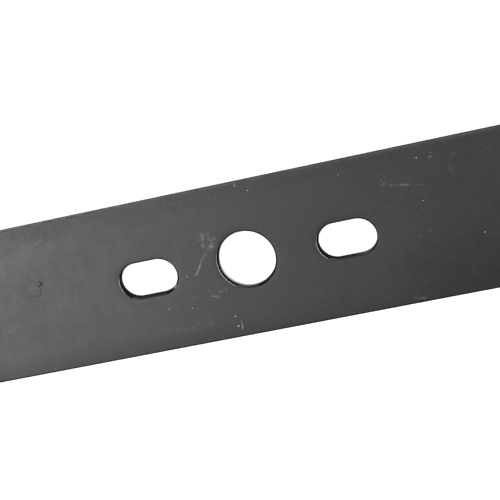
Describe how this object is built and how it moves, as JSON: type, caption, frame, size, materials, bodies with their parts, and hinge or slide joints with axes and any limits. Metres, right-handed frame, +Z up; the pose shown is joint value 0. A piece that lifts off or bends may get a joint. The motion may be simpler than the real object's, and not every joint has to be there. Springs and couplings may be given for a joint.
{
  "type": "rotary mower blade",
  "caption": "Flat steel mower blade with a centre bore, a drive slot on either side of it, lift wings pressed up at the trailing edges and ground cutting edges at the tips.",
  "frame": {"origin": "on the axis of the centre bore, at the underside of the bar", "axes": "+X along the blade, +Y across it, +Z up the spindle axis, towards the side that the wings rise to"},
  "size_m": [0.532, 0.0504, 0.0149],
  "materials": {
    "coated_steel": "thin dark grey coat, satin, with handling scratches; bare ground steel on the cutting edges"
  },
  "bodies": {
    "root": {"blade": "coated_steel"}
  },
  "joints": []
}
